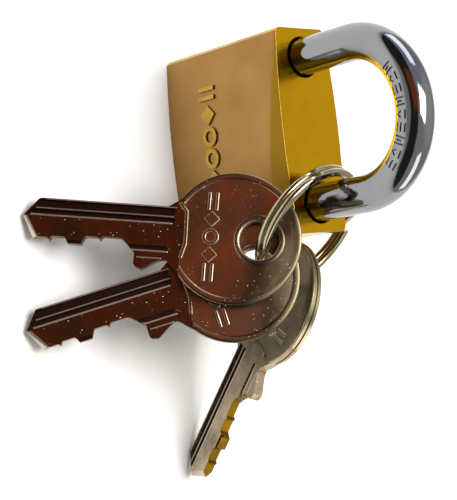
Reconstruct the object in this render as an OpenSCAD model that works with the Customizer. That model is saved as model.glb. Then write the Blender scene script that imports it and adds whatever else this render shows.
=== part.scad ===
// Solid brass padlock with a steel shackle, a split ring and three keys.
// Millimetres. The lock stands on z = 0, the front face looks to -Y, and the
// long leg of the shackle is on the +X side.

/* [Body] */
// width of the body
body_w = 40; // [36:0.5:50]
// height of the body
body_h = 33.6; // [33:0.1:45]
// thickness at the upright edges
body_t = 12.8; // [12:0.1:18]
// how far the middle of the front and of the back bulges out
crown = 1.15; // [0.2:0.05:2]
// bevel of the upright edges
edge_bevel = 0.7; // [0.1:0.1:1.5]
// height of the raised marks over the front
mark_rise = 0.3; // [0.1:0.05:0.6]

/* [Shackle] */
// diameter of the bar
bar_d = 7.2; // [5:0.1:8]
// distance between the two legs, axis to axis
leg_gap = 28.5; // [26:0.1:30]
// straight part of each leg over the body
leg_free = 12.5; // [8:0.5:60]
// play around a leg in its bore
leg_play = 0.25; // [0.1:0.05:0.4]
// how deep the short leg sits in the body
toe_depth = 8.2; // [6:0.1:9]
// how deep the long leg sits in the body
heel_depth = 24.8; // [22:0.1:28]
// how far the shackle springs up when the lock opens
lift = 8.6; // [7:0.1:9]

/* [Plug and pins] */
// radius of the turning plug
plug_r = 5.75; // [5:0.05:6]
// height of the plug
plug_h = 22; // [20:0.5:24]
// running play of turning and sliding pieces, on the radius
run = 0.06; // [0.02:0.01:0.1]
// number of pin stacks
pin_n = 5; // [3:1:5]
// height of the first pin stack
pin_first = 5; // [4.4:0.1:6]
// distance between pin stacks
pin_pitch = 3.2; // [3:0.1:4]
// radius of a pin
pin_r = 1.25; // [1:0.05:1.4]

/* [Latch] */
// height of the latch bolt's axis
latch_z = 29; // [28:0.1:30]
// radius of the latch bolt
latch_r = 2.32; // [2:0.01:2.4]
// how far the latch bolt draws back
latch_travel = 4.8; // [4:0.1:5]

/* [Split ring] */
// mean radius of the ring
ring_r = 12.3; // [9:0.1:14]
// width of the flat wire, along the radius
wire_w = 1.6; // [1:0.1:2]
// thickness of the flat wire
wire_t = 1.3; // [1:0.1:1.6]

/* [Keys] */
// thickness of a key
key_t = 2.2; // [1.8:0.1:2.6]
// radius of the head
head_r = 12.6; // [10:0.1:14]
// from the hole to the middle of the head
head_off = 4.7; // [4:0.1:6]
// radius of the hole
hole_r = 3.75; // [3:0.05:4.5]
// from the hole to the tip
key_len = 44.9; // [40:0.1:50]
// from the hole to the stop that meets the plug
key_stop = 23.2; // [22:0.1:26]
// height of the uncut blade
blade_h = 8.4; // [7:0.1:9]
// height of the blade left under each cut, from the plug's mouth inward
bitting = [6.6, 6.8, 8.4, 7.2, 7.5]; // [5.5:0.1:8.4]

/* [Places of the loose pieces] */
// middle of the split ring
ring_at = [18.53, -2.48, 32.22]; // [-60:0.01:60]
// turns of the split ring about X, Y and Z
ring_turn = [38.91, 5.9, 94.74]; // [-180:0.01:180]
// middle of the first key's hole
key_1_at = [20.75, -14.7, 31.37]; // [-60:0.01:60]
// turns of the first key about X, Y and Z
key_1_turn = [-1.55, 42.99, -104.64]; // [-180:0.01:180]
// middle of the second key's hole
key_2_at = [25.79, -13.22, 28.19]; // [-60:0.01:60]
// turns of the second key about X, Y and Z
key_2_turn = [13.37, 36.98, -75.93]; // [-180:0.01:180]
// middle of the third key's hole
key_3_at = [28.57, -3.47, 26.05]; // [-60:0.01:60]
// turns of the third key about X, Y and Z
key_3_turn = [98.83, 30.62, -14.65]; // [-180:0.01:180]

/* [Hidden] */
$fn = 64;

half_w = body_w / 2;
y_mid = body_t / 2 + crown;
crown_r = (half_w * half_w + crown * crown) / (2 * crown);
bar_r = bar_d / 2;
leg_x = leg_gap / 2;
leg_bore_r = bar_r + leg_play;
toe_z = body_h - toe_depth;
heel_z = body_h - heel_depth;
bow_z = body_h + leg_free;

// the notch that the latch holds, on the inner side of the short leg
notch_deep = 1.6;
notch_low = latch_z - 2;
notch_high = latch_z + 2.9;
toe_face = -leg_x + bar_r;

// the pin that keeps the long leg in, and the leg's flat beside it
keeper_r = 1;
keeper_z = 20;
keeper_x = leg_x - bar_r - 0.2;
flat_deep = 1.2;
flat_x = keeper_x + keeper_r + 0.2;
flat_low = keeper_z - lift - keeper_r - 0.2;
flat_high = keeper_z + keeper_r + 0.2;
leg_groove_h = 2 * keeper_r + 0.4;

// the plug and what it drives
plug_bore_r = plug_r + run;
plug_bore_z = latch_z - 2.1;
plug_groove_z = 2.8;
plug_groove_h = 1.6;
plug_groove_r = plug_r - 0.85;
plug_keeper_r = 0.7;
plug_keeper_x = plug_groove_r + plug_keeper_r + 0.08;
spine_x = 4.25;
way_t = key_t + 0.2;
way_top = plug_h - 0.2;
tenon = 3;
cam_t = 1.6;
cam_low = plug_h + 0.05;
cam_high = cam_low + cam_t;
crank_r = 0.7;
crank_at = latch_travel / sqrt(2);
crank_top = plug_bore_z - 0.5;

// the latch bolt
latch_bore_r = latch_r + 0.08;
latch_bore_end = 9;
nose_reach = 1.4;
nose_x = toe_face - nose_reach;
bolt_end = -4.4;
nose_slope = lift / latch_travel;
fork_low = cam_high + 0.6;
fork_high = latch_z - latch_bore_r - 0.1;
fork_x = -latch_travel / 2;

// pin stacks
pin_bore_r = pin_r + 0.05;
shear_x = -plug_bore_r - 0.04;
driver_len = 4;
chamber_plug_len = 2.2;

// keys
blade_low = -5.2;
rim_w = 1.2;
relief = 0.3;
collar_r = hole_r + 1.1;
recess_end = 13.4;

function pin_z(i) = pin_first + pin_pitch * i;
function root_x(i) = spine_x - bitting[i];

// ---------------------------------------------------------------- helpers

// a round bar along X, from x0 to x1
module bar_x(r, x0, x1, y, z) {
    translate([x0, y, z])
        rotate([0, 90, 0])
            cylinder(r = r, h = x1 - x0);
}

// a round bar along Y, from y0 to y1
module bar_y(r, y0, y1, x, z) {
    translate([x, y0, z])
        rotate([-90, 0, 0])
            cylinder(r = r, h = y1 - y0);
}

// a coil spring of square wire along +Z from z = 0: flat arcs and rising arcs
// in turn, joined by slightly thicker knuckles
module coil_spring(len, mean_r, wire, turns) {
    pitch = (len - 1.2 * wire) / (turns - 0.5);
    tilt = atan(pitch / (2 * mean_r));
    cut = 5;
    knuckle = 2.6 * mean_r * sin(cut);
    for (i = [0 : turns - 1])
        translate([0, 0, 0.6 * wire + i * pitch]) {
            wire_arc(mean_r, wire, cut);
            translate([-mean_r, 0, 0])
                cube([1.2 * wire, knuckle, 1.2 * wire], center = true);
            if (i < turns - 1) {
                translate([0, 0, pitch / 2])
                    rotate([0, tilt, 180])
                        wire_arc(mean_r / cos(tilt), wire, cut);
                translate([mean_r, 0, pitch])
                    cube([1.2 * wire, knuckle, 1.2 * wire], center = true);
            }
        }
}

module wire_arc(mean_r, wire, cut) {
    rotate([0, 0, cut])
        rotate_extrude(angle = 180 - 2 * cut, $fn = 32)
            translate([mean_r - wire / 2, -wire / 2])
                square(wire);
}

// ---------------------------------------------------------------- lock body

module body_plan() {
    difference() {
        intersection() {
            translate([-half_w, -y_mid])
                square([body_w, 2 * y_mid]);
            translate([0, crown_r - y_mid])
                circle(r = crown_r, $fn = 720);
            translate([0, y_mid - crown_r])
                circle(r = crown_r, $fn = 720);
        }
        for (sx = [-1, 1], sy = [-1, 1])
            translate([sx * half_w, sy * body_t / 2])
                rotate(45)
                    square(edge_bevel * sqrt(2), center = true);
    }
}

module body_blank() {
    linear_extrude(height = body_h)
        body_plan();
}

// one abstract mark, drawn in X and Z: a lozenge, two bars or a ring
module mark(kind) {
    if (kind == 0)
        rotate(45)
            square(2.9, center = true);
    if (kind == 1)
        for (s = [-1, 1])
            translate([s * 0.95, 0])
                square([0.9, 4.6], center = true);
    if (kind == 2)
        difference() {
            circle(r = 2.1);
            circle(r = 1.15);
        }
}

module front_marks() {
    kinds = [1, 0, 2, 2, 0, 1];
    intersection() {
        for (i = [0 : 5])
            translate([(i - 2.5) * 4.4, 0, 12.6])
                rotate([90, 0, 0])
                    linear_extrude(height = y_mid + 2)
                        mark(kinds[i]);
        translate([0, -mark_rise, 0])
            body_blank();
        translate([-half_w, -y_mid - 2, 0])
            cube([body_w, 5, body_h]);
    }
}

module lock_body() {
    color([0.80, 0.62, 0.22])
    difference() {
        union() {
            body_blank();
            front_marks();
        }
        // the two leg bores, with a small bevel at each mouth
        translate([leg_x, 0, 3])
            cylinder(r = leg_bore_r, h = body_h);
        translate([-leg_x, 0, toe_z - 0.6])
            cylinder(r = leg_bore_r, h = body_h);
        for (s = [-1, 1])
            translate([s * leg_x, 0, body_h - 0.3])
                cylinder(r1 = leg_bore_r, r2 = leg_bore_r + 0.4, h = 0.4);
        // the latch bore, drilled in from the side under the short leg
        bar_x(latch_bore_r, -half_w - 1, latch_bore_end, 0, latch_z);
        // the plug bore
        translate([0, 0, -1])
            cylinder(r = plug_bore_r, h = plug_bore_z + 1);
        // the pin chambers
        for (i = [0 : pin_n - 1])
            bar_x(pin_bore_r, -half_w - 1, -4, 0, pin_z(i));
        // the bores of the two retaining pins, open at the back
        bar_y(keeper_r, -3.5, y_mid + 1, keeper_x, keeper_z);
        bar_y(plug_keeper_r, -2.6, y_mid + 1, plug_keeper_x, plug_groove_z);
    }
}

module shackle_retaining_pin() {
    color([0.75, 0.75, 0.77])
        bar_y(keeper_r, -3.5, y_mid - 0.7, keeper_x, keeper_z);
}

module plug_retaining_pin() {
    color([0.75, 0.75, 0.77])
        bar_y(plug_keeper_r, -2.6, y_mid - 0.4, plug_keeper_x, plug_groove_z);
}

module latch_bore_plug() {
    color([0.80, 0.62, 0.22])
        bar_x(latch_bore_r - 0.01, -half_w, -half_w + 1.6, 0, latch_z);
}

module chamber_plug(i) {
    color([0.80, 0.62, 0.22])
        bar_x(pin_bore_r, -half_w, -half_w + chamber_plug_len, 0, pin_z(i));
}

// ---------------------------------------------------------------- shackle

module leg(x, z0) {
    translate([x, 0, z0 + 0.6])
        cylinder(r = bar_r, h = bow_z - z0 - 0.6);
    translate([x, 0, z0])
        cylinder(r1 = bar_r - 0.6, r2 = bar_r, h = 0.6);
}

module shackle() {
    color([0.80, 0.80, 0.82])
    difference() {
        union() {
            translate([0, 0, bow_z])
                rotate([90, 0, 0])
                    rotate_extrude(angle = 180)
                        translate([leg_x, 0])
                            circle(r = bar_r);
            leg(leg_x, heel_z);
            leg(-leg_x, toe_z);
        }
        // the latch notch
        rotate([90, 0, 0])
            linear_extrude(height = bar_d + 2, center = true)
                polygon([
                    [toe_face + 0.4, notch_low - 0.4],
                    [toe_face - notch_deep, notch_low + notch_deep],
                    [toe_face - notch_deep, notch_high - 0.3],
                    [toe_face + 0.4, notch_high]
                ]);
        // the long leg's flat, which passes the retaining pin
        translate([flat_x - 5, -bar_r - 1, flat_low])
            cube([5, bar_d + 2, flat_high - flat_low]);
        // the groove in which the pin lets the lifted shackle swivel
        translate([leg_x, 0, flat_low])
            difference() {
                cylinder(r = bar_r + 1, h = leg_groove_h);
                translate([0, 0, -1])
                    cylinder(r = bar_r - flat_deep, h = leg_groove_h + 2);
            }
    }
}

module shackle_spring() {
    color([0.72, 0.72, 0.75])
        translate([leg_x, 0, 3.02])
            coil_spring(heel_z - 3.07, 2.8, 0.7, 4);
}

// ---------------------------------------------------------------- plug

// the keyway's outline; a ward on each side enters one groove of the key
module way_plan() {
    difference() {
        translate([spine_x - blade_h - 0.1, -way_t / 2])
            square([blade_h + 0.25, way_t]);
        translate([spine_x - 4.4, way_t / 2 - 0.45])
            square([0.8, 1]);
        translate([spine_x - 3.05, -way_t / 2 - 0.55])
            square([0.8, 1]);
    }
}

module plug() {
    color([0.83, 0.68, 0.33])
    difference() {
        union() {
            cylinder(r = plug_r, h = plug_h);
            translate([-tenon / 2, -tenon / 2, plug_h - 1])
                cube([tenon, tenon, cam_high - plug_h + 1]);
        }
        translate([0, 0, -1])
            linear_extrude(height = way_top + 1)
                way_plan();
        for (i = [0 : pin_n - 1])
            bar_x(pin_bore_r, -plug_r - 1, -1.5, 0, pin_z(i));
        translate([0, 0, plug_groove_z - plug_groove_h / 2])
            difference() {
                cylinder(r = plug_r + 1, h = plug_groove_h);
                translate([0, 0, -1])
                    cylinder(r = plug_groove_r, h = plug_groove_h + 2);
            }
    }
}

module cam() {
    color([0.70, 0.70, 0.72]) {
        difference() {
            translate([0, 0, cam_low])
                cylinder(r = plug_r - 0.15, h = cam_t);
            translate([-tenon / 2 - 0.02, -tenon / 2 - 0.02, cam_low - 1])
                cube([tenon + 0.04, tenon + 0.04, cam_t + 2]);
        }
        rotate(-135)
            translate([crank_at, 0, cam_low + 0.5])
                cylinder(r = crank_r, h = crank_top - cam_low - 0.5);
    }
}

module key_pin(i) {
    color([0.84, 0.70, 0.36])
        bar_x(pin_r, -plug_r + 0.15, root_x(i) - 0.05, 0, pin_z(i));
}

module driver_pin(i) {
    color([0.84, 0.70, 0.36])
        bar_x(pin_r, shear_x - driver_len, shear_x, 0, pin_z(i));
}

module pin_spring(i) {
    x_out = -half_w + chamber_plug_len + 0.03;
    x_in = shear_x - driver_len - 0.03;
    color([0.72, 0.72, 0.75])
        translate([x_out, 0, pin_z(i)])
            rotate([0, 90, 0])
                coil_spring(x_in - x_out, 0.9, 0.28, 6);
}

// ---------------------------------------------------------------- latch

module latch_bolt() {
    color([0.72, 0.72, 0.74])
    difference() {
        union() {
            bar_x(latch_r, nose_x, bolt_end, 0, latch_z);
            // the neck down into the plug bore, and the fork round the crank
            translate([-5.4, -1, fork_low])
                cube([5.4 + bolt_end, 2, latch_z - fork_low - 1]);
            translate([-5.4, -1, fork_low])
                cube([5.4 + fork_x, 2, fork_high - fork_low]);
            translate([fork_x - 1.8, -3.5, fork_low])
                cube([3.6, 5.3, fork_high - fork_low]);
        }
        translate([fork_x - crank_r - 0.2, -6, fork_low - 1])
            cube([2 * crank_r + 0.4, 4.8, fork_high - fork_low + 1.1]);
        // the slanted underside of the nose
        rotate([90, 0, 0])
            linear_extrude(height = 3 * latch_r, center = true)
                polygon([
                    [toe_face + 1, notch_low + 0.3 - nose_slope],
                    [nose_x - 1, notch_low + 0.3 + nose_slope * (nose_reach + 1)],
                    [nose_x - 1, latch_z - latch_r - 3],
                    [toe_face + 1, latch_z - latch_r - 3]
                ]);
    }
}

module latch_spring() {
    color([0.72, 0.72, 0.75])
        translate([bolt_end + 0.03, 0, latch_z])
            rotate([0, 90, 0])
                coil_spring(latch_bore_end - bolt_end - 0.06, 1.6, 0.45, 8);
}

// ---------------------------------------------------------------- split ring

// two turns of flat wire, joined by a slanted step where the layers change
module split_ring() {
    gap = 8;
    layer = wire_t + 0.05;
    step_len = 2 * ring_r * sin(gap);
    color([0.82, 0.79, 0.70])
        translate(ring_at)
            rotate(ring_turn) {
                for (s = [0, 1])
                    rotate([0, 0, gap])
                        translate([0, 0, (s - 0.5) * layer])
                            rotate_extrude(angle = 360 - 2 * gap)
                                translate([ring_r - wire_w / 2, -wire_t / 2])
                                    square([wire_w, wire_t]);
                translate([ring_r * cos(gap) + wire_w / 2 - 0.02, 0, 0])
                    rotate([90, 0, -90])
                        linear_extrude(height = wire_w - 0.04)
                            polygon([
                                [-step_len / 2 - 0.3, -layer / 2 - wire_t / 2 + 0.02],
                                [-step_len / 2 + 0.7, -layer / 2 - wire_t / 2 + 0.02],
                                [step_len / 2 + 0.3, layer / 2 - wire_t / 2 + 0.1],
                                [step_len / 2 + 0.3, layer / 2 + wire_t / 2 - 0.02],
                                [step_len / 2 - 0.7, layer / 2 + wire_t / 2 - 0.02],
                                [-step_len / 2 - 0.3, -layer / 2 + wire_t / 2 - 0.1]
                            ]);
            }
}

// ---------------------------------------------------------------- keys

module key_plan() {
    difference() {
        union() {
            translate([head_off, 0])
                circle(r = head_r);
            // the neck, and the stop that meets the plug
            polygon([
                [12, -8.2], [15.9, -6.4], [17.4, blade_low - 0.1], [20, -2],
                [key_stop, -2], [key_stop, 6.5], [21.7, 7], [19.3, 5.6],
                [17.4, 4.9], [16.5, 5.8], [14.5, 7.9], [12, 8.6]
            ]);
            // the blade, with its pointed tip
            polygon([
                [14, blade_low], [key_len - 2.8, blade_low], [key_len, -1.7],
                [key_len - 2, 2.1], [key_len - 3, blade_low + blade_h],
                [14, blade_low + blade_h]
            ]);
        }
        circle(r = hole_r);
        for (i = [0 : pin_n - 1])
            translate([key_stop + pin_z(i), blade_low + bitting[i]])
                polygon([
                    [-1.15, 0], [1.15, 0], [1.9, 1.2], [2.4, 2.6],
                    [-2.4, 2.6], [-1.9, 1.2]
                ]);
        // the runout of the first cut, up to the stop
        translate([key_stop, blade_low + bitting[0]])
            polygon([
                [0.1, 2.6], [1.2, 1.4], [2.8, 0], [pin_first, 0], [pin_first, 4], [0.1, 4]
            ]);
    }
}

module head_recess() {
    difference() {
        intersection() {
            translate([head_off, 0])
                circle(r = head_r - rim_w);
            translate([-20, -20])
                square([20 + recess_end, 40]);
        }
        circle(r = collar_r);
        // abstract raised marks in a row
        for (i = [-2 : 2])
            translate([9.4, i * 3.4])
                if (i % 2 == 0)
                    rotate(45)
                        square(1.7, center = true);
                else
                    square([3, 0.9], center = true);
    }
}

module key() {
    difference() {
        translate([0, 0, -key_t / 2])
            linear_extrude(height = key_t)
                key_plan();
        for (s = [0, 1])
            mirror([0, 0, s])
                translate([0, 0, key_t / 2 - relief])
                    linear_extrude(height = 1)
                        head_recess();
        // the long grooves, three on the face and two on the back
        translate([15.8, -4.9, key_t / 2 - 0.5])
            cube([key_len, 1.4, 1]);
        translate([15.8, -3, key_t / 2 - 0.5])
            cube([key_len, 0.9, 1]);
        translate([16.6, 2.4, key_t / 2 - 0.4])
            cube([key_len, 0.9, 1]);
        translate([15.8, -1.8, -key_t / 2 - 0.5])
            cube([key_len, 1.2, 1]);
        translate([16.6, 0.8, -key_t / 2 - 0.5])
            cube([key_len, 0.8, 0.9]);
    }
}

module key_1() {
    color([0.62, 0.55, 0.47])
        translate(key_1_at)
            rotate(key_1_turn)
                key();
}

module key_2() {
    color([0.62, 0.55, 0.47])
        translate(key_2_at)
            rotate(key_2_turn)
                key();
}

module key_3() {
    color([0.62, 0.55, 0.47])
        translate(key_3_at)
            rotate(key_3_turn)
                key();
}

// ---------------------------------------------------------------- nodes

lock_body();
shackle();
shackle_spring();
shackle_retaining_pin();
plug();
cam();
plug_retaining_pin();
latch_bolt();
latch_spring();
latch_bore_plug();
for (i = [0 : pin_n - 1]) {
    key_pin(i);
    driver_pin(i);
    pin_spring(i);
    chamber_plug(i);
}
split_ring();
key_1();
key_2();
key_3();
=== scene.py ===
from math import cos, pi, radians, sin

import bmesh
import bpy
from mathutils import Euler, Matrix, Vector


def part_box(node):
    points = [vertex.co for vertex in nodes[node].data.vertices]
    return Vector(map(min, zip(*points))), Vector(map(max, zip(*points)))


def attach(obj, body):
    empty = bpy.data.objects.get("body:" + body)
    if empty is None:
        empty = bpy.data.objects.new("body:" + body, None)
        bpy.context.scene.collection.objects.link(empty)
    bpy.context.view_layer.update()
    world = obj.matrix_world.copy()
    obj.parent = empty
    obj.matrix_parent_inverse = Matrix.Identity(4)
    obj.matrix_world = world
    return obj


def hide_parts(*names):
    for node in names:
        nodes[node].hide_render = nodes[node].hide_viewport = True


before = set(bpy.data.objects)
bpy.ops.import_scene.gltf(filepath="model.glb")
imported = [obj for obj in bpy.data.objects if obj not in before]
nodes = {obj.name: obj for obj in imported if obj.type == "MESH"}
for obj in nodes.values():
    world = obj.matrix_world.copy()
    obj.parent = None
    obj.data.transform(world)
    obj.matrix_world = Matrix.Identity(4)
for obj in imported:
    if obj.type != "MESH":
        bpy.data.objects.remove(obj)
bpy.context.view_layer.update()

# Pieces are drawn in millimetres and turned to metres when they are finished.
MM = 0.001
WELD_GAP = 1e-4
BEVEL_WELD_GAP = 2e-5
UPRIGHT = Matrix.Rotation(radians(90), 4, "X")

scene = bpy.context.scene


# ---------------------------------------------------------------- mesh helpers

def new_object(name, mesh):
    obj = bpy.data.objects.new(name, mesh)
    scene.collection.objects.link(obj)
    return obj


def edited(obj, change):
    """Runs change on the object's mesh, opened for bmesh."""
    bm = bmesh.new()
    bm.from_mesh(obj.data)
    change(bm)
    bm.to_mesh(obj.data)
    bm.free()
    return obj


def face_out(bm):
    bmesh.ops.recalc_face_normals(bm, faces=bm.faces)


def mesh_from(name, verts, faces):
    """A new object with all its faces turned outward."""
    mesh = bpy.data.meshes.new(name)
    mesh.from_pydata(verts, [], faces)
    return edited(new_object(name, mesh), face_out)


def circle(r, n, cx=0.0):
    """The outline of a circle about (cx, 0), in n points."""
    return [(cx + r * cos(2 * pi * i / n), r * sin(2 * pi * i / n)) for i in range(n)]


def rect(x0, y0, x1, y1):
    """The outline of a rectangle between two corners."""
    return [(x0, y0), (x1, y0), (x1, y1), (x0, y1)]


def rounded_rect(w, h, r, steps):
    """The outline of a rectangle with rounded corners, about the origin."""
    points = []
    for cx, cy, start in (
        (w / 2 - r, h / 2 - r, 0), (-w / 2 + r, h / 2 - r, 90),
        (-w / 2 + r, -h / 2 + r, 180), (w / 2 - r, -h / 2 + r, 270),
    ):
        for i in range(steps + 1):
            a = radians(start + 90 * i / steps)
            points.append((cx + r * cos(a), cy + r * sin(a)))
    return points


def prism(points, z0, z1, name="cutter"):
    """A straight prism over a closed outline."""
    n = len(points)
    verts = [(x, y, z0) for x, y in points] + [(x, y, z1) for x, y in points]
    faces = [tuple(range(n)), tuple(range(n, 2 * n))]
    faces += [(i, (i + 1) % n, n + (i + 1) % n, n + i) for i in range(n)]
    return mesh_from(name, verts, faces)


def lathe(profile, n):
    """A solid of revolution about Z; the profile runs from axis to axis, or is a loop."""
    verts = []
    faces = []
    rows = []
    for k, (r, z) in enumerate(profile):
        if k and (r, z) == profile[0]:
            rows.append(rows[0])
        elif r < 1e-9:
            rows.append([len(verts)])
            verts.append((0, 0, z))
        else:
            rows.append(list(range(len(verts), len(verts) + n)))
            verts += [(x, y, z) for x, y in circle(r, n)]
    for a, b in zip(rows, rows[1:]):
        for i in range(n):
            j = (i + 1) % n
            if len(a) == 1:
                faces.append((a[0], b[i], b[j]))
            elif len(b) == 1:
                faces.append((a[i], a[j], b[0]))
            else:
                faces.append((a[i], a[j], b[j], b[i]))
    return mesh_from("cutter", verts, faces)


def sweep(sections, name):
    """Loops of equal length joined along a path, capped at the ends."""
    n = len(sections[0])
    verts = [p for loop in sections for p in loop]
    faces = []
    for k in range(len(sections) - 1):
        for i in range(n):
            j = (i + 1) % n
            faces.append((k * n + i, k * n + j, (k + 1) * n + j, (k + 1) * n + i))
    last = (len(sections) - 1) * n
    faces.append(tuple(range(n)))
    faces.append(tuple(range(last, last + n)))
    return mesh_from(name, verts, faces)


def axes(x, y, z):
    """The rotation that takes the X, Y and Z axes to these directions."""
    return Matrix((x, y, z)).transposed().to_4x4()


def place(obj, matrix):
    """Moves the mesh itself, and leaves the object where it is."""
    obj.data.transform(matrix)
    return obj


def to_metres(obj):
    return place(obj, Matrix.Scale(MM, 4))


def rod(r, start, end, n=48):
    """A straight round bar between two points."""
    a = Vector(start)
    b = Vector(end)
    bar = prism(circle(r, n), 0, (b - a).length)
    turn = (b - a).to_track_quat("Z", "Y").to_matrix().to_4x4()
    return place(bar, Matrix.Translation(a) @ turn)


def bake(obj):
    """The object's modifiers become its mesh."""
    graph = bpy.context.evaluated_depsgraph_get()
    graph.update()
    mesh = bpy.data.meshes.new_from_object(obj.evaluated_get(graph))
    old = obj.data
    obj.modifiers.clear()
    obj.data = mesh
    bpy.data.meshes.remove(old)
    return obj


def weld(obj, gap=WELD_GAP):
    """Merges points that a cut or a bevel has left almost on each other."""
    def change(bm):
        bmesh.ops.remove_doubles(bm, verts=bm.verts, dist=gap)
        bmesh.ops.dissolve_degenerate(bm, edges=bm.edges, dist=gap)

    return edited(obj, change)


def combine(obj, others, operation):
    """Applies a boolean with one solid after another, and uses them up."""
    for other in others:
        modifier = obj.modifiers.new("combine", "BOOLEAN")
        modifier.operation = operation
        modifier.solver = "EXACT"
        modifier.object = other
        bake(obj)
        bpy.data.objects.remove(other)
        weld(obj)
    return obj


def cut(obj, *others):
    return combine(obj, others, "DIFFERENCE")


def join(obj, *others):
    return combine(obj, others, "UNION")


def tidy(obj, angle):
    """Merges flat neighbours, so that bevels run clean."""
    def change(bm):
        bmesh.ops.dissolve_limit(
            bm, angle_limit=radians(angle), verts=bm.verts, edges=bm.edges, delimit={"MATERIAL"}
        )

    return edited(obj, change)


def outward(obj, scale=(1, 1, 1)):
    """Scales a closed solid, which may mirror it, and turns its faces outward again."""
    def change(bm):
        bmesh.ops.scale(bm, vec=scale, verts=bm.verts)
        face_out(bm)

    return edited(obj, change)


def edge_bevel(obj, width, segments, angle):
    """A bevel modifier on the edges sharper than angle."""
    modifier = obj.modifiers.new("edge", "BEVEL")
    modifier.width = width
    modifier.segments = segments
    modifier.limit_method = "ANGLE"
    modifier.angle_limit = radians(angle)
    return modifier


def bevel(obj, width, segments, angle):
    """Rounds the edges sharper than angle; width is in millimetres."""
    edge_bevel(obj, width, segments, angle).miter_outer = "MITER_ARC"
    return weld(bake(obj), BEVEL_WELD_GAP)


def shade(obj, angle, weighted=True):
    """Smooth shading, with edges sharper than angle left hard."""
    obj.data.shade_smooth()
    obj.data.set_sharp_from_angle(angle=radians(angle))
    if weighted:
        modifier = obj.modifiers.new("normals", "WEIGHTED_NORMAL")
        modifier.mode = "FACE_AREA"
        modifier.weight = 80
        modifier.keep_sharp = True
        bake(obj)
    return obj


def set_materials(obj, materials, chooser=None):
    """Gives the mesh its materials; chooser names a face's place in the list."""
    obj.data.materials.clear()
    for material in materials:
        obj.data.materials.append(material)
    for face in obj.data.polygons:
        face.material_index = chooser(face) if chooser else 0


# ---------------------------------------------------------------- materials

# the colour sockets of a mix node, which share their names with its other sockets
MIX_A, MIX_B, MIX_RESULT = 6, 7, 2

# how fine the metals' textures are, in repeats per metre
SPECK_CELLS, SPECK_CLOUDS = 1500, 420
DOT_CELLS, DOT_CLOUDS = 1250, 620
SCRATCHES_A, SCRATCHES_B = (5200, 260, 900), (300, 900, 6000)
FAR_TONE_CLOUDS = 260
# the depth of their relief, in metres
GRAIN_DEPTH = 0.00005
SCRATCH_DEPTH = 0.00002
DOT_HEIGHT = 0.00004
# half the width of a band's soft border, in metres
BAND_BORDER = 0.0007
# where the far tone begins and is complete, in metres from the hole and away from the blade
FAR_TONE_FROM, FAR_TONE_TO = 0.0015, 0.0095
FAR_TONE_SLANT = 0.35
FAR_TONE_RAGGED = 0.006
FAR_TONE_BORDER = (0.05, 0.036, 0.026)
PAINTED_GLINT_TONE = (0.80, 0.74, 0.62)


class Nodes:
    """A short way to write the node tree of a material or of the world."""

    def __init__(self, owner, shader, coord):
        owner.use_nodes = True
        self.owner = owner
        self.tree = owner.node_tree
        self.shader = self.tree.nodes[shader]
        self.coord = self.tree.nodes.new("ShaderNodeTexCoord").outputs[coord]

    def put(self, value, socket):
        """Sets a number or a colour on the socket itself, or links an output to it."""
        if isinstance(value, tuple):
            socket.default_value = (*value, 1)
        elif isinstance(value, (int, float)):
            socket.default_value = value
        else:
            self.tree.links.new(value, socket)

    def noise(self, scale, detail=3.0, stretch=(1, 1, 1), rough=0.55):
        mapping = self.tree.nodes.new("ShaderNodeMapping")
        mapping.inputs["Scale"].default_value = stretch
        self.put(self.coord, mapping.inputs["Vector"])
        node = self.tree.nodes.new("ShaderNodeTexNoise")
        for key, number in (("Scale", scale), ("Detail", detail), ("Roughness", rough)):
            node.inputs[key].default_value = number
        self.put(mapping.outputs["Vector"], node.inputs["Vector"])
        return node.outputs["Fac"]

    def cells(self, scale):
        """The distance to the nearest of many scattered points."""
        node = self.tree.nodes.new("ShaderNodeTexVoronoi")
        node.inputs["Scale"].default_value = scale
        self.put(self.coord, node.inputs["Vector"])
        return node.outputs["Distance"]

    def ramp(self, value, low, high, out_low=0.0, out_high=1.0):
        node = self.tree.nodes.new("ShaderNodeMapRange")
        node.interpolation_type = "SMOOTHSTEP"
        for key, number in zip(
            ("From Min", "From Max", "To Min", "To Max"), (low, high, out_low, out_high)
        ):
            node.inputs[key].default_value = number
        self.put(value, node.inputs["Value"])
        return node.outputs["Result"]

    def math(self, operation, *values):
        node = self.tree.nodes.new("ShaderNodeMath")
        node.operation = operation
        for socket, value in zip(node.inputs, values):
            self.put(value, socket)
        return node.outputs["Value"]

    def mix(self, factor, a, b):
        node = self.tree.nodes.new("ShaderNodeMix")
        node.data_type = "RGBA"
        self.put(factor, node.inputs["Factor"])
        self.put(a, node.inputs[MIX_A])
        self.put(b, node.inputs[MIX_B])
        return node.outputs[MIX_RESULT]

    def bump(self, height, strength, distance, below=None):
        node = self.tree.nodes.new("ShaderNodeBump")
        node.inputs["Strength"].default_value = strength
        node.inputs["Distance"].default_value = distance
        self.put(height, node.inputs["Height"])
        if below is not None:
            self.put(below, node.inputs["Normal"])
        return node.outputs["Normal"]

    def finish(self, color, roughness, normal=None, metallic=1.0):
        """Joins a material's shader up, and returns the material."""
        self.put(metallic, self.shader.inputs["Metallic"])
        self.put(color, self.shader.inputs["Base Color"])
        self.put(roughness, self.shader.inputs["Roughness"])
        if normal is not None:
            self.put(normal, self.shader.inputs["Normal"])
        return self.owner


def material_nodes(name):
    return Nodes(bpy.data.materials.new(name), "Principled BSDF", "Object")


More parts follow.
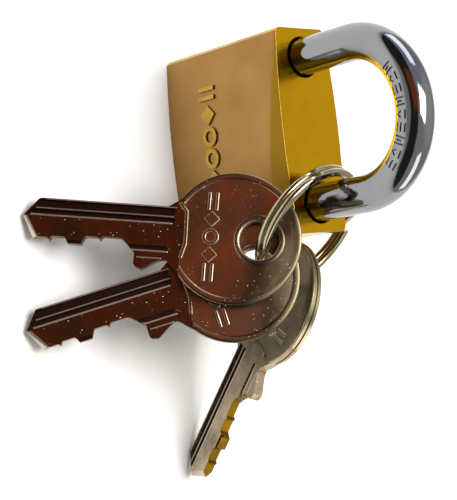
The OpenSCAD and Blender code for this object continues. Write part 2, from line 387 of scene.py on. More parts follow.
def metal(
    name, light, dark, rough, grain=(900, 900, 900), grain_bump=0.05,
    stain=140, scratch=0.06, band=None, far_tone=None, sparkle=0.0,
):
    """A metal with blotchy tarnish, fine grain, hairline scratches and small specks.

    rough is the roughness of bright and of tarnished metal.
    band is (color, z, slope): metal past a slanted line near the top takes that colour, a painted
    reflection.
    far_tone is (color, roughness, edge): metal away from the blade takes that colour and is
    rougher, and the line where the two tones meet is darker by edge.
    sparkle raises scattered dots, which are also painted pale as glints.
    """
    n = material_nodes(name)
    blotch = n.ramp(n.noise(stain, 4), 0.35, 0.7)
    color = n.mix(blotch, light, dark)
    speck = n.ramp(n.cells(SPECK_CELLS), 0.05, 0.16, 1.0, 0.0)
    speck = n.math("MULTIPLY", speck, n.ramp(n.noise(SPECK_CLOUDS), 0.52, 0.7))
    color = n.mix(speck, color, tuple(0.35 * c for c in dark))
    # two sets of scratches that cross
    scratch_a = n.ramp(n.noise(1, 1, SCRATCHES_A), 0.62, 0.7)
    scratch_b = n.ramp(n.noise(1, 1, SCRATCHES_B), 0.63, 0.7)
    scratches = n.math("MAXIMUM", scratch_a, scratch_b)
    share = min(4 * scratch, 0.4)
    level = n.math(
        "ADD", n.math("MULTIPLY", blotch, 1 - share), n.math("MULTIPLY", scratches, share)
    )
    roughness = n.ramp(level, 0.0, 1.0, *rough)
    if band is not None or far_tone is not None:
        split = n.tree.nodes.new("ShaderNodeSeparateXYZ")
        n.put(n.coord, split.inputs["Vector"])
    # painted reflection: a slanted band near the top of the front is tinted a deeper, darker gold
    if band is not None:
        reflection_tint, height, slope = band
        line = n.math("ADD", split.outputs["Z"], n.math("MULTIPLY", split.outputs["X"], slope))
        past = n.ramp(line, height - BAND_BORDER, height + BAND_BORDER)
        color = n.mix(past, color, reflection_tint)
    if far_tone is not None:
        dull, dull_rough, edge = far_tone
        aside = n.math("MULTIPLY", split.outputs["Y"], FAR_TONE_SLANT)
        along = n.math("SUBTRACT", aside, split.outputs["X"])
        cloud = n.math("MULTIPLY", n.noise(FAR_TONE_CLOUDS, 3), FAR_TONE_RAGGED)
        where = n.ramp(n.math("ADD", along, cloud), FAR_TONE_FROM, FAR_TONE_TO)
        color = n.mix(where, color, dull)
        line = n.math("MULTIPLY", n.math("MULTIPLY", where, edge), n.math("SUBTRACT", 1.0, where))
        color = n.mix(line, color, FAR_TONE_BORDER)
        rise = n.math("MULTIPLY", where, dull_rough)
        roughness = n.math("ADD", roughness, rise)
    normal = n.bump(n.noise(1, 4, grain), grain_bump, GRAIN_DEPTH)
    normal = n.bump(scratches, scratch, SCRATCH_DEPTH, normal)
    if sparkle:
        dots = n.ramp(n.cells(DOT_CELLS), 0.06, 0.17, 1.0, 0.0)
        chance = n.ramp(n.noise(DOT_CLOUDS, 2), 0.47, 0.53)
        if far_tone is not None:
            chance = n.math("MULTIPLY", chance, n.math("MAXIMUM", where, 0.5))
        dots = n.math("MULTIPLY", dots, chance)
        normal = n.bump(dots, sparkle, DOT_HEIGHT, normal)
        # the dots are raised, and also painted pale and less metallic: painted glints that light
        # up where the metal round them stays dark
        color = n.mix(dots, color, PAINTED_GLINT_TONE)
        n.put(n.ramp(dots, 0.0, 1.0, 1.0, 0.25), n.shader.inputs["Metallic"])
    return n.finish(color, roughness, normal)


# the band near the top of the satin front is a painted reflection
brass_front = metal(
    "brass_satin", (0.37, 0.205, 0.064), (0.325, 0.175, 0.052), (0.34, 0.42),
    grain=(7000, 500, 7000), grain_bump=0.10, stain=90,
    band=((0.26, 0.145, 0.010), 0.0300, 0.17),
)
brass_mark = metal(
    "brass_mark_face", (0.47, 0.29, 0.05), (0.40, 0.24, 0.035), (0.22, 0.32), stain=300,
)
# the walls of the front's raised marks are painted near-black: painted shade
mark_wall_painted_shade = metal(
    "mark_wall_painted_shade", (0.10, 0.055, 0.010), (0.06, 0.035, 0.008), (0.35, 0.5), stain=300,
)
brass_top = metal(
    "brass_polished", (0.62, 0.35, 0.008), (0.54, 0.30, 0.005), (0.16, 0.28),
    grain=(400, 6000, 400), grain_bump=0.06, stain=110,
)
brass_side = metal(
    "brass_milled", (0.58, 0.35, 0.07), (0.48, 0.28, 0.05), (0.22, 0.36),
    grain=(500, 7000, 500), grain_bump=0.10, stain=110,
)
brass_plug = metal(
    "brass_plug", (0.66, 0.45, 0.17), (0.52, 0.34, 0.11), (0.24, 0.4),
    grain=(5000, 700, 5000), grain_bump=0.08,
)
brass_pin = metal("brass_turned", (0.72, 0.52, 0.22), (0.60, 0.42, 0.15), (0.2, 0.3))
chrome = metal(
    "chrome", (0.285, 0.29, 0.303), (0.25, 0.255, 0.268), (0.05, 0.11),
    grain=(600, 600, 600), grain_bump=0.01, stain=60,
)
stamp_metal = metal(
    "chrome_stamped", (0.13, 0.135, 0.14), (0.06, 0.06, 0.06), (0.35, 0.55), stain=900,
)
steel = metal(
    "machined_steel", (0.56, 0.56, 0.58), (0.42, 0.42, 0.44), (0.28, 0.42),
    grain=(4000, 600, 4000), grain_bump=0.08,
)
spring_wire = metal("drawn_wire", (0.52, 0.52, 0.54), (0.40, 0.40, 0.42), (0.3, 0.42))
ring_metal = metal(
    "ring_nickel", (0.52, 0.45, 0.30), (0.36, 0.30, 0.18), (0.12, 0.22),
    grain=(1500, 1500, 1500), grain_bump=0.04,
)
# a paler copy of the key metal for hole walls, tip chamfers, ribs and the slopes of the head's
# marks: painted highlight
key_highlight_metal = metal(
    "key_painted_highlight", (0.62, 0.55, 0.46), (0.50, 0.43, 0.35), (0.32, 0.44), stain=300,
)
key_cut_metal = metal(
    "key_cut_brass", (0.215, 0.118, 0.006), (0.14, 0.074, 0.004), (0.35, 0.5),
    grain=(9000, 900, 900), grain_bump=0.2,
)
# near-black groove floors, and the flats between the spine's grooves: painted shade
key_groove_shade_metal = metal(
    "key_groove_painted_shade", (0.055, 0.038, 0.030), (0.025, 0.018, 0.014), (0.28, 0.42),
    grain=(700, 5000, 5000), grain_bump=0.2, stain=260, scratch=0.02,
)


def key_metals(tag, head, blade, edge):
    """The five metals of one key: head, fresh cuts, groove floors in painted shade, edges in
    painted highlight, and blade.
    """
    return [
        metal(
            "key_nickel_" + tag, head, tuple(0.5 * c for c in head), (0.20, 0.28),
            grain=(2600, 2600, 2600), grain_bump=0.10, stain=110, scratch=0.02,
            far_tone=((0.26, 0.22, 0.13), 0.20, edge), sparkle=1.0,
        ),
        key_cut_metal,
        key_groove_shade_metal,
        key_highlight_metal,
        metal(
            "key_blade_nickel_" + tag, blade, tuple(0.5 * c for c in blade), (0.18, 0.30),
            grain=(6000, 900, 900), grain_bump=0.14, stain=240, scratch=0.05, sparkle=0.6,
        ),
    ]


# two copies of one key's metals: keys 1 and 2 take the darker copy, with a near-black blade, as
# painted shade; key 3 takes the paler copy, as painted light
key_metals_painted_shade = key_metals("dark", (0.36, 0.28, 0.18), (0.145, 0.11, 0.072), 3.2)
key_metals_painted_light = key_metals("pale", (0.41, 0.335, 0.21), (0.42, 0.335, 0.23), 0.4)


# ---------------------------------------------------------------- lock body

body_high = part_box("lock_body")[1] / MM
HALF_W = body_high.x
BODY_H = body_high.z
EDGE_T = 12.8
EDGE_BEVEL = 0.7
CROWN = 1.15
Y_MID = EDGE_T / 2 + CROWN
CROWN_R = (HALF_W ** 2 + CROWN ** 2) / (2 * CROWN)

# bores, with their places along Z
LEG_X = 14.25
LEG_BORE_R = 3.85
HEEL_BORE_FLOOR = 3
TOE_BORE_DEPTH = 8.8
PLUG_BORE_R = 5.81
PLUG_BORE_TOP = 26.9
LATCH_BORE_R, LATCH_BORE_Z = 2.4, 29
CHAMBER_R, CHAMBER_Z = 1.3, 5
SHACKLE_PIN_R, SHACKLE_PIN_X, SHACKLE_PIN_Z = 1.0, 10.45, 20
PLUG_PIN_R, PLUG_PIN_X, PLUG_PIN_Z = 0.7, 5.68, 2.8
STACKS = 5
STACK_PITCH = 3.2
BORE_SIDES = 96

# the row of marks on the front
MARK_Z = 12.6
MARK_PITCH = 4.4
MARK_SIZE = 2.05
MARK_PROUD = 0.34

# places in the body's list of materials
FRONT, TOP, SIDE, MARK, MARK_WALL_SHADE = range(5)


def front_y(x):
    """Where the bulging front stands at x."""
    return CROWN_R - Y_MID - (CROWN_R ** 2 - x * x) ** 0.5


def body_outline(steps=28):
    """The body's plan: a bulging front and back, flat sides and cut corners."""
    flat_x = HALF_W - EDGE_BEVEL
    front = []
    for i in range(steps + 1):
        x = -flat_x + 2 * flat_x * i / steps
        front.append((x, front_y(x)))
    side = EDGE_T / 2 - EDGE_BEVEL
    back = [(x, -y) for x, y in reversed(front)]
    return front + [(HALF_W, -side), (HALF_W, side)] + back + [(-HALF_W, side), (-HALF_W, -side)]


def mark_outlines(kind, size):
    """Abstract marks: a lozenge, a pair of bars, or a ring as (outline, is_hole)."""
    s = size
    if kind == "lozenge":
        return [([(s, 0), (0, s), (-s, 0), (0, -s)], False)]
    if kind == "bars":
        w, h, d = 0.2 * s, 1.1 * s, 0.46 * s
        return [(rect(c - w, -h, c + w, h), False) for c in (-d, d)]
    return [(circle(s, 32), False), (circle(0.55 * s, 32), True)]


def marks(row, size, z0, z1):
    """Solids of a row of marks, each given as (x, y, kind)."""
    solids = []
    for x, y, kind in row:
        solid = None
        for outline, is_hole in mark_outlines(kind, size):
            past = 1 if is_hole else 0
            piece = prism([(px + x, py + y) for px, py in outline], z0 - past, z1 + past)
            if is_hole:
                cut(solid, piece)
            elif solid is None:
                solid = piece
            else:
                join(solid, piece)
        solids.append(solid)
    return solids


def raised_marks():
    """The row of marks on the front, whose faces follow the bulge."""
    row = [
        ((i - 2.5) * MARK_PITCH, MARK_Z, kind)
        for i, kind in enumerate(("bars", "lozenge", "ring", "ring", "lozenge", "bars"))
    ]
    raised = []
    for solid in marks(row, MARK_SIZE, Y_MID - 2.5, Y_MID + 2):
        place(solid, UPRIGHT)
        skin = prism(body_outline(), 0, BODY_H)
        place(skin, Matrix.Translation((0, -MARK_PROUD, 0)))
        combine(solid, [skin], "INTERSECT")
        raised.append(bevel(solid, width=0.06, segments=2, angle=50))
    return raised


def leg_bore(x, floor):
    """The cutter of a leg's bore, with a rounded mouth; floor is measured from the top."""
    mouth = [(LEG_BORE_R, -0.42), (3.93, -0.2), (4.12, 0.02), (4.2, 1), (0, 1)]
    bore = lathe([(0, floor), (LEG_BORE_R, floor)] + mouth, BORE_SIDES)
    return place(bore, Matrix.Translation((x, 0, BODY_H)))


def plug_bore():
    """The cutter of the plug's bore, with a small chamfer at the base."""
    return lathe([
        (0, -1), (6.2, -1), (5.96, 0.0), (PLUG_BORE_R, 0.15),
        (PLUG_BORE_R, PLUG_BORE_TOP), (0, PLUG_BORE_TOP),
    ], BORE_SIDES)


def cross_bore(r, x, y, z):
    """The cutter of a cross pin's bore, from y out through the back."""
    return rod(r, (x, y, z), (x, Y_MID + 1, z), 32)


def body_material(face):
    n = face.normal
    c = face.center
    if n.z > 0.98 and c.z > BODY_H - 0.1:
        return TOP
    if 9 < c.z < 16 and abs(c.x) < 14 and c.y < -Y_MID + 1.2:
        # how far the face stands in front of the bulging skin
        skin = front_y(c.x)
        if c.y < skin - 0.25:
            return MARK
        # the marks' walls take the painted shade
        if c.y < skin - 0.02:
            return MARK_WALL_SHADE
    return FRONT if abs(n.y) > 0.75 else SIDE


def build_body():
    blank = prism(body_outline(), 0, BODY_H, "lock_body_brass")
    bevel(blank, width=0.09, segments=3, angle=20)
    join(blank, *raised_marks())
    outside = -HALF_W - 1
    cutters = [
        leg_bore(LEG_X, HEEL_BORE_FLOOR - BODY_H),
        leg_bore(-LEG_X, -TOE_BORE_DEPTH),
        plug_bore(),
        rod(LATCH_BORE_R, (outside, 0, LATCH_BORE_Z), (9, 0, LATCH_BORE_Z), 64),
        cross_bore(SHACKLE_PIN_R, SHACKLE_PIN_X, -3.5, SHACKLE_PIN_Z),
        cross_bore(PLUG_PIN_R, PLUG_PIN_X, -2.6, PLUG_PIN_Z),
    ]
    for i in range(STACKS):
        z = CHAMBER_Z + STACK_PITCH * i
        cutters.append(rod(CHAMBER_R, (outside, 0, z), (-4, 0, z)))
    cut(blank, *cutters)
    tidy(blank, angle=0.05)
    bevel(blank, width=0.07, segments=2, angle=50)
    shade(blank, angle=35)
    set_materials(
        blank, [brass_front, brass_top, brass_side, brass_mark, mark_wall_painted_shade], body_material
    )
    return to_metres(blank)


lock_body = build_body()
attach(lock_body, "padlock")
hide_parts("lock_body")


# ---------------------------------------------------------------- shackle

BAR_R = 3.6
BOW_Z = 46.1
HEEL_Z = 8.8
TOE_Z = 25.4
# the rounding of a leg's end, as (radius, distance from the end)
LEG_END = ((2.75, 0), (2.95, 0.06), (BAR_R - 0.08, 0.62), (BAR_R, 0.75))
BAR_SIDES = 72
BOW_STEPS = 72
# the long leg's groove and flat, for the retaining pin
GROOVE_Z = 10.2
GROOVE_H = 2.4
FLAT_X = 11.65
FLAT_TOP = 21.2
# stamps along the bow
STAMPS = 9
STAMP_FIRST, STAMP_STEP = 45, 9.4
TILT_FIRST, TILT_STEP = -2, 1.25
STAMP_W, STAMP_H, STROKE = 0.82, 1.12, 0.36
STAMP_DEPTH = 0.26


def bar_section(centre, a, r):
    """A loop of the bar about a centre, square to the bow at angle a."""
    out = Vector((cos(a), 0, sin(a)))
    side = Vector((0, 1, 0))
    return [
        tuple(
            centre + out * r * cos(2 * pi * k / BAR_SIDES) + side * r * sin(2 * pi * k / BAR_SIDES)
        )
        for k in range(BAR_SIDES)
    ]


def stamp_outlines(i):
    """Abstract stamps, three kinds in turn."""
    w, h, t = STAMP_W, STAMP_H, STROKE
    if i % 3 == 1:
        chevron = [
            (w, 0), (0, h), (-w, 0), (-w + t * 1.3, 0), (0, h - t * 1.6), (w - t * 1.3, 0),
        ]
        return [chevron, rect(-w, -h + t, w, -h)]
    if i % 3 == 2:
        return [
            rect(-w, -h, -w + t, h), rect(w - t, -h, w, h),
            rect(-0.18, -h * 0.5, 0.18, h * 0.5),
        ]
    return [rect(-w, c - t / 2, w, c + t / 2) for c in (-h + t / 2, 0, h - t / 2)]


def bow_stamps():
    """The cutters of the shallow stamps along the inner front of the bow."""
    stamps = []
    for i in range(STAMPS):
        a = radians(STAMP_FIRST + STAMP_STEP * i)
        tilt = radians(TILT_FIRST + TILT_STEP * i)
        centre = Vector((LEG_X * cos(a), 0, BOW_Z + LEG_X * sin(a)))
        out = Vector((cos(a), 0, sin(a)))
        facing = -out * sin(tilt) + Vector((0, -1, 0)) * cos(tilt)
        along = Vector((-sin(a), 0, cos(a)))
        turn = axes(along, facing.cross(along), facing)
        for outline in stamp_outlines(i):
            stamp = prism(outline, BAR_R - STAMP_DEPTH, BAR_R + 0.6)
            stamps.append(place(stamp, Matrix.Translation(centre) @ turn))
    return stamps


def shackle_material(face):
    """0 for the bar's skin, 1 for what is sunk into the front of the bow."""
    c = face.center
    if c.z < BOW_Z or c.y > -2.5:
        return 0
    reach = (c.x ** 2 + (c.z - BOW_Z) ** 2) ** 0.5 - LEG_X
    return 1 if (reach ** 2 + c.y ** 2) ** 0.5 < BAR_R - 0.06 else 0


def build_shackle():
    stations = [(Vector((LEG_X, 0, HEEL_Z + rise)), 0.0, r) for r, rise in LEG_END]
    stations.append((Vector((LEG_X, 0, BOW_Z - 6)), 0.0, BAR_R))
    for i in range(BOW_STEPS + 1):
        a = pi * i / BOW_STEPS
        stations.append((Vector((LEG_X * cos(a), 0, BOW_Z + LEG_X * sin(a))), a, BAR_R))
    stations.append((Vector((-LEG_X, 0, BOW_Z - 6)), pi, BAR_R))
    stations += [(Vector((-LEG_X, 0, TOE_Z + rise)), pi, r) for r, rise in reversed(LEG_END)]
    bar = sweep([bar_section(*station) for station in stations], "shackle_bar")

    # the latch's notch in the short leg
    notch = prism([(-10.25, 26.6), (-12.25, 28.6), (-12.25, 31.6), (-10.25, 31.9)], -5, 5)
    place(notch, UPRIGHT)
    flat = prism(rect(FLAT_X - 5, -5, FLAT_X, 5), GROOVE_Z, FLAT_TOP)
    groove = lathe(
        [(2.4, 0), (4.6, 0), (4.6, GROOVE_H), (2.4, GROOVE_H), (2.4, 0)], 72
    )
    place(groove, Matrix.Translation((LEG_X, 0, GROOVE_Z)))
    cut(bar, notch, flat, groove, *bow_stamps())
    tidy(bar, angle=0.02)
    bevel(bar, width=0.05, segments=2, angle=40)
    shade(bar, angle=38)
    set_materials(bar, [chrome, stamp_metal], shackle_material)
    return to_metres(bar)


shackle = build_shackle()
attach(shackle, "shackle")
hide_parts("shackle")


# ---------------------------------------------------------------- split ring

# places in millimetres and turns in degrees
RING_AT = (18.53, -2.48, 32.22)
RING_TURN = (38.91, 5.9, 94.74)
KEYS = {
    "key_1": ((20.75, -14.7, 31.37), (-1.55, 42.99, -104.64)),
    "key_2": ((25.79, -13.22, 28.19), (13.37, 36.98, -75.93)),
    "key_3": ((28.57, -3.47, 26.05), (98.83, 30.62, -14.65)),
}
RING_R = 12.3
WIRE_W, WIRE_H, WIRE_ROUND = 1.6, 1.24, 0.52
WIRE_LAYER = 1.35
RING_GAP = 9


def pose(at, turn):
    """The placement of a hanging piece in the frame."""
    spin = Euler([radians(v) for v in turn], "XYZ").to_matrix().to_4x4()
    return Matrix.Translation(Vector(at) * MM) @ spin


def build_ring():
    """Two turns of flat wire in one piece, which step from one layer to the other."""
    section = rounded_rect(WIRE_W, WIRE_H, WIRE_ROUND, 6)
    first, last = RING_GAP, 720 - RING_GAP
    loops = []
    angle = first
    while angle <= last + 0.01:
        t = min(max((angle - (360 - RING_GAP)) / (2 * RING_GAP), 0), 1)
        z = (-0.5 + t * t * (3 - 2 * t)) * WIRE_LAYER
        # the wire's two ends are rounded off
        end = min(angle - first, last - angle)
        grow = 1 if end > 0.9 else 0.82 + 0.2 * end
        a = radians(angle)
        loops.append([
            ((RING_R + x * grow) * cos(a), (RING_R + x * grow) * sin(a), z + y * grow)
            for x, y in section
        ])
        # short steps at the ends, and longer ones along the turns
        angle += 0.45 if end < 1.3 else 2.0 if 340 < angle < 380 else 2.5
    ring = sweep(loops, "split_ring_wire")
    shade(ring, angle=50, weighted=False)
    set_materials(ring, [ring_metal])
    to_metres(ring)
    ring.matrix_world = pose(RING_AT, RING_TURN)
    return ring


split_ring = build_ring()
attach(split_ring, "ring")
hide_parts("split_ring")


# ---------------------------------------------------------------- keys

# a key lies flat, with the middle of its hole at the origin and its blade along +X
HEAD_OFF = 4.7
HEAD_R = 12.6
HEAD_SIDES = 120
HOLE_R = 3.75
KEY_LEN = 44.9
STOP = 23.2
BLADE_LOW = -5.2
BLADE_HIGH = 3.2
TIP_Y = -1.7
TIP_LOW_X = KEY_LEN - 2.8
TIP_HIGH_X = KEY_LEN - 3
PIN_FIRST = 5.0
BITTING = (6.6, 6.8, 8.4, 7.2, 7.5)
# heights over the key's middle plane, and then widths and places of what is raised
FACE = 0.98
FLOOR = 0.72
PROUD = 1.1
MARK_TOP = 1.06
ROOT = 0.5
BAND_ROOT = 0.7
RIM_W = 1.3
RIM_END_X = 14.6
COLLAR_W = 1.1
KEY_MARK_X = 9.2
KEY_MARK_PITCH = 3.4
KEY_MARK_SIZE = 1.6
# a cutter that goes through the whole key
THROUGH = (-3, 3)

# places in a key's list of metals
HEAD, CUT, GROOVE_SHADE, PAINTED_HIGHLIGHT, BLADE = range(5)

# fine ribs along the blade: start, end, middle, half width and top
RIBS = (
    (16.6, KEY_LEN - 1.5, -1.92, 0.17, 1.07), (16.9, STOP + 0.9, 3.55, 0.17, 1.07),
    (16.4, KEY_LEN - 2.4, -3.25, 0.11, 1.03), (15.8, KEY_LEN - 4.0, -5.03, 0.08, 1.02),
    (18.0, STOP - 0.5, 4.85, 0.12, 1.03),
)
# long grooves: start, both edges, depth and face; three on the front and two on the back
GROOVES = (
    (15.6, -4.95, -3.45, 0.45, 1), (15.6, -3.05, -2.05, 0.5, 1), (16.4, 2.35, 3.35, 0.32, 1),
    (15.6, -1.85, -0.55, 0.45, -1), (16.4, 0.8, 1.6, 0.3, -1),
)


def pad(outline, low, high, width=0.22):
    """A prism whose edges are softened, so that raised lines catch the light."""
    return bevel(prism(outline, low, high), width, segments=3, angle=60)


def ring_band(radius, width, low, high):
    """A rounded raised band around a circle."""
    half = width / 2
    crest = [
        (radius + half * cos(radians(a)), low + (high - low) * sin(radians(a)) ** 0.8)
        for a in (6, 25, 45, 68, 90, 112, 135, 155, 174)
    ]
    profile = [(radius + half, low - 0.5)] + crest + [(radius - half, low - 0.5)]
    return lathe(profile + [profile[0]], HEAD_SIDES)


def key_plate():
    """The flat blank: head, neck and blade."""
    plate = prism(circle(HEAD_R - 0.25, HEAD_SIDES, HEAD_OFF), -FACE, FACE, "key_blank")
    neck = prism([
        (12, -8.2), (14.2, -7.3), (15.9, -6.3), (17.4, BLADE_LOW - 0.1), (20, -2), (STOP, -2),
        (STOP, 6.2), (STOP - 0.4, 6.7), (21.7, 7.0), (20.6, 6.4), (19.3, 5.6), (18.2, 5.05),
        (17.4, 4.95), (16.8, 5.4), (16.2, 6.1), (14.6, 7.7), (12, 8.6),
    ], -FACE, FACE)
    blade = prism([
        (14, BLADE_LOW), (TIP_LOW_X, BLADE_LOW), (KEY_LEN, TIP_Y),
        (KEY_LEN - 2, 2.1), (TIP_HIGH_X, BLADE_HIGH), (14, BLADE_HIGH),
    ], -FACE, FACE)
    return join(plate, neck, blade)


def head_recess(side):
    """The cutter of the head's sunk face, which ends at the neck's bead."""
    low, high = sorted((side * FLOOR, side * 1.5))
    recess = prism(circle(HEAD_R - 0.9, HEAD_SIDES, HEAD_OFF), low, high)
    inside = prism([
        (-20, -20), (16.5, -20), (15.4, -6.15), (14.0, -4.45), (13.8, 1.6), (14.55, 4.55),
        (16.5, 20), (-20, 20),
    ], low - 1, high + 1)
    return combine(recess, [inside], "INTERSECT")


def raised_lines(side):
    """Rim, collar, bead, marks and ribs of one face."""
    rim = ring_band(HEAD_R - RIM_W / 2, RIM_W, BAND_ROOT, PROUD)
    place(rim, Matrix.Translation((HEAD_OFF, 0, 0)))
    cut(rim, prism(rect(RIM_END_X, -20, 40, 20), *THROUGH))
    collar = ring_band(HOLE_R + COLLAR_W / 2, COLLAR_W, BAND_ROOT, MARK_TOP)
    bead = pad([
        (15.05, -6.3), (15.75, -6.0), (14.35, -4.3), (14.15, 1.5), (14.9, 4.4), (14.2, 4.7),
        (13.4, 1.7), (13.6, -4.6),
    ], ROOT, PROUD)
    row = [
        (KEY_MARK_X, (i - 2) * KEY_MARK_PITCH, kind)
        for i, kind in enumerate(("bars", "lozenge", "ring", "lozenge", "bars"))
    ]
    raised = [rim, collar, bead]
    for solid in marks(row, KEY_MARK_SIZE, ROOT, MARK_TOP):
        raised.append(bevel(solid, width=0.16, segments=2, angle=60))
    for x0, x1, y, half, high in RIBS:
        raised.append(pad(rect(x0, y - half, x1, y + half), ROOT, high, half * 0.75))
    if side < 0:
        for solid in raised:
            outward(solid, (1, 1, -1))
    return raised


def bitting_cuts():
    """The cutters of the five cuts, and of the run from the stop to the first of them."""
    cutters = []
    for i, height in enumerate(BITTING):
        x = STOP + PIN_FIRST + STACK_PITCH * i
        y = BLADE_LOW + height
        cutters.append(prism([
            (x - 2.4, y + 2.6), (x - 1.9, y + 1.2), (x - 1.35, y + 0.18), (x - 1.1, y),
            (x + 1.1, y), (x + 1.35, y + 0.18), (x + 1.9, y + 1.2), (x + 2.4, y + 2.6),
        ], *THROUGH))
    y = BLADE_LOW + BITTING[0]
    cutters.append(prism([
        (STOP + 0.1, 6), (STOP + 0.1, y + 2.6), (STOP + 1.2, y + 1.4), (STOP + 2.4, y + 0.25),
        (STOP + 3.0, y), (STOP + PIN_FIRST, y), (STOP + PIN_FIRST, 6),
    ], *THROUGH))
    return cutters


def tip_chamfers():
    """The cutters that chamfer the tip's slanted edges on both faces."""
    top = FACE + 0.02
    chamfers = []
    for start, end in (
        ((KEY_LEN, TIP_Y), (TIP_HIGH_X, BLADE_HIGH)), ((TIP_LOW_X, BLADE_LOW), (KEY_LEN, TIP_Y)),
    ):
        along = Vector((end[0] - start[0], end[1] - start[1], 0))
        length = along.length
        along.normalize()
        out = Vector((along.y, -along.x, 0))
        for side in (1, -1):
            wedge = prism([(-0.75, top), (0.3, top), (0.3, FACE - 0.75)], -0.8, length + 0.8)
            turn = axes(out, Vector((0, 0, side)), along)
            place(wedge, Matrix.Translation((*start, 0)) @ turn)
            chamfers.append(outward(wedge))
    return chamfers


def blade_grooves():
    """The cutters of the long grooves, narrower at the floor and with a sloping start."""
    grooves = []
    for x, y0, y1, deep, side in GROOVES:
        deep += 1 - FACE
        low, high = sorted((side * (FACE - deep), side * 1.6))
        groove = prism(rect(x, y0, KEY_LEN + 1, y1), low, high)
        for v in groove.data.vertices:
            if abs(v.co.z) < FACE:
                v.co.y += 0.22 if v.co.y < (y0 + y1) / 2 else -0.22
                v.co.x += 0.9 if v.co.x < x + 0.1 else 0
        grooves.append(groove)
    return grooves


def key_material(face):
    c = face.center
    n = face.normal
    # the hole's wall takes the painted highlight
    if (c.x ** 2 + c.y ** 2) ** 0.5 < HOLE_R + 0.25 and abs(n.z) < 0.8:
        return PAINTED_HIGHLIGHT
    # the tip's upper chamfers, in the painted highlight
    if c.x > KEY_LEN - 3.6 and c.y > -1.9 and 0.2 < abs(n.z) < 0.9:
        return PAINTED_HIGHLIGHT
    if c.x > STOP - 0.2 and c.y > 0.6 and abs(n.z) < 0.6:
        return CUT
    # groove floors, painted near-black: painted shade
    if c.x > 15.4 and abs(c.z) < FACE - 0.12 and abs(n.z) > 0.3:
        return GROOVE_SHADE
    # ribs, in the painted highlight
    if c.x > 15.9 and abs(c.z) > FACE + 0.004:
        return PAINTED_HIGHLIGHT
    # the flats between the two grooves by the spine, in the same painted shade
    if c.x > 16.2 and -5.3 < c.y < -2.05 and n.z > 0.3:
        return GROOVE_SHADE
    # the slopes of the marks on the head, in the painted highlight
    if 7 < c.x < 11.5 and abs(c.y) < 9.5 and FLOOR + 0.02 < abs(c.z) and abs(n.z) < 0.97:
        return PAINTED_HIGHLIGHT
    return BLADE if c.x > 17.5 or (c.x > 15.6 and c.y < -1.8) else HEAD


def build_key_mesh():
    plate = key_plate()
    for side in (1, -1):
        cut(plate, head_recess(side))
        join(plate, *raised_lines(side))
    cut(plate, prism(circle(HOLE_R, 72), *THROUGH), *bitting_cuts())
    cut(plate, *tip_chamfers())
    cut(plate, *blade_grooves())
    tidy(plate, angle=0.3)
    bevel(plate, width=0.09, segments=2, angle=38)
    shade(plate, angle=42)
    set_materials(plate, key_metals_painted_shade, key_material)
    return to_metres(plate)


blank = build_key_mesh()
for name, (at, turn) in KEYS.items():
    key = new_object(name + "_blade_and_head", blank.data.copy())
    key.matrix_world = pose(at, turn)
    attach(key, name)
    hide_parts(name)
    # key 3 takes the paler copy of the metals, painted light
    if name == "key_3":
        for i, material in enumerate(key_metals_painted_light):
            key.data.materials[i] = material
bpy.data.objects.remove(blank)


# ---------------------------------------------------------------- carried-over CAD nodes

CARRIED = {
    "plug": brass_plug, "cam": steel, "latch_bolt": steel, "latch_spring": spring_wire,
    "shackle_spring": spring_wire, "shackle_retaining_pin": steel, "plug_retaining_pin": steel,
    "latch_bore_plug": brass_side,
}
for i in range(1, STACKS + 1):
    CARRIED[f"key_pin_{i}"] = brass_pin
    CARRIED[f"driver_pin_{i}"] = brass_pin
    CARRIED[f"pin_spring_{i}"] = spring_wire
    CARRIED[f"chamber_plug_{i}"] = brass_side
PLUG_EDGE = 0.00012
CARRIED_EDGE = 0.00008
for name, material in CARRIED.items():
    node = nodes[name]
    node.data.materials.clear()
    node.data.materials.append(material)
    width = PLUG_EDGE if name == "plug" else CARRIED_EDGE
    edge_bevel(node, width, segments=2, angle=50)


# ---------------------------------------------------------------- stage, light and camera

FLOOR_HALF = 3


def build_floor():
    corners = rect(-FLOOR_HALF, -FLOOR_HALF, FLOOR_HALF, FLOOR_HALF)
    floor = mesh_from("floor", [(x, y, 0) for x, y in corners], [(0, 1, 2, 3)])
    n = material_nodes("pale_floor")
    tone = n.mix(n.ramp(n.noise(12, 3), 0.3, 0.7), (0.93, 0.93, 0.92), (0.90, 0.90, 0.89))
    n.shader.inputs["Specular IOR Level"].default_value = 0.2
    set_materials(floor, [n.finish(tone, 0.75, None, 0.0)])


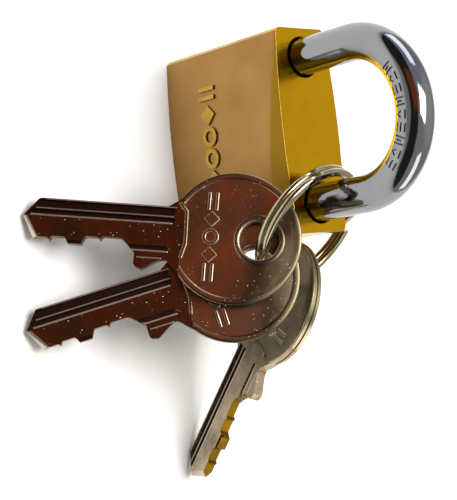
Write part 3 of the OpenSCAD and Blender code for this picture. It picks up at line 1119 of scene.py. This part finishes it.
def build_world():
    """A pale studio all round, with a dark band and a warm patch where the viewer stands."""
    world = bpy.data.worlds.new("studio")
    scene.world = world
    n = Nodes(world, "Background", "Generated")
    ragged = 0.16

    def patch(direction, low, high):
        """A round patch of sky about a direction, with uneven edges."""
        dot = n.tree.nodes.new("ShaderNodeVectorMath")
        dot.operation = "DOT_PRODUCT"
        n.put(n.coord, dot.inputs[0])
        dot.inputs[1].default_value = Vector(direction).normalized()
        wave = n.noise(2.6, 2.0, rough=0.5)
        uneven = n.math("MULTIPLY_ADD", wave, ragged, dot.outputs["Value"])
        # the noise is 0.5 on the whole, so half of its share is taken off again
        return n.ramp(uneven, low + ragged / 2, high + ragged / 2)

    color = n.mix(patch((-1, 0.2, 0.5), 0.2, 0.95), (0.45, 0.45, 0.44), (0.40, 0.44, 0.52))
    color = n.mix(patch((0.0, 0.66, 0.75), 0.72, 0.97), color, (0.74, 0.70, 0.62))
    # a dark band where the viewer stands, with a warm patch in it
    low = patch((-0.0787, -0.935, -0.345), 0.10, 0.20)
    high = patch((0.0787, 0.935, 0.345), -0.84, -0.74)
    color = n.mix(n.math("MULTIPLY", low, high), color, (0.035, 0.034, 0.032))
    color = n.mix(patch((-0.33, -0.60, 0.73), 0.93, 0.985), color, (0.38, 0.088, 0.028))
    # the camera itself sees plain pale grey
    path = n.tree.nodes.new("ShaderNodeLightPath")
    color = n.mix(path.outputs["Is Camera Ray"], color, (0.84, 0.84, 0.84))
    n.put(color, n.shader.inputs["Color"])
    n.shader.inputs["Strength"].default_value = 1.0


def area_light(name, at, target, size, energy, color):
    """A rectangular lamp at one point, turned to another."""
    data = bpy.data.lights.new(name, "AREA")
    data.shape = "RECTANGLE"
    data.size, data.size_y = size
    data.energy = energy
    data.color = color
    lamp = bpy.data.objects.new(name, data)
    scene.collection.objects.link(lamp)
    lamp.location = at
    lamp.rotation_euler = (Vector(target) - Vector(at)).to_track_quat("-Z", "Y").to_euler()


# the camera's place in millimetres, and the directions it sees as right, down and ahead
CAMERA_AT = Vector((35.166, -197.384, 231.018))
CAMERA_RIGHT = Vector((0.11136, 0.75136, 0.65043))
CAMERA_DOWN = Vector((0.99255, -0.05150, -0.11044))
CAMERA_AHEAD = Vector((-0.04949, 0.65788, -0.75149))


def build_camera():
    data = bpy.data.cameras.new("camera")
    data.sensor_width = 36
    data.lens = 104.15
    data.clip_start = 0.01
    data.dof.use_dof = False
    camera = bpy.data.objects.new("camera", data)
    scene.collection.objects.link(camera)
    turn = axes(CAMERA_RIGHT, -CAMERA_DOWN, -CAMERA_AHEAD)
    camera.matrix_world = Matrix.Translation(CAMERA_AT * MM) @ turn
    scene.camera = camera


build_floor()
build_world()
area_light("soft_top", (-0.10, 0.04, 1.2), (0, 0, 0), (0.66, 0.66), 14.5, (1.0, 0.99, 0.97))
area_light("soft_left", (-0.60, 0.15, 0.30), (0, 0, 0.03), (0.25, 0.5), 1.0, (0.93, 0.96, 1.0))
area_light("soft_right", (0.60, 0.20, 0.30), (0, 0, 0.03), (0.25, 0.5), 1.0, (1.0, 0.98, 0.94))
build_camera()
scene.view_settings.view_transform = "Standard"
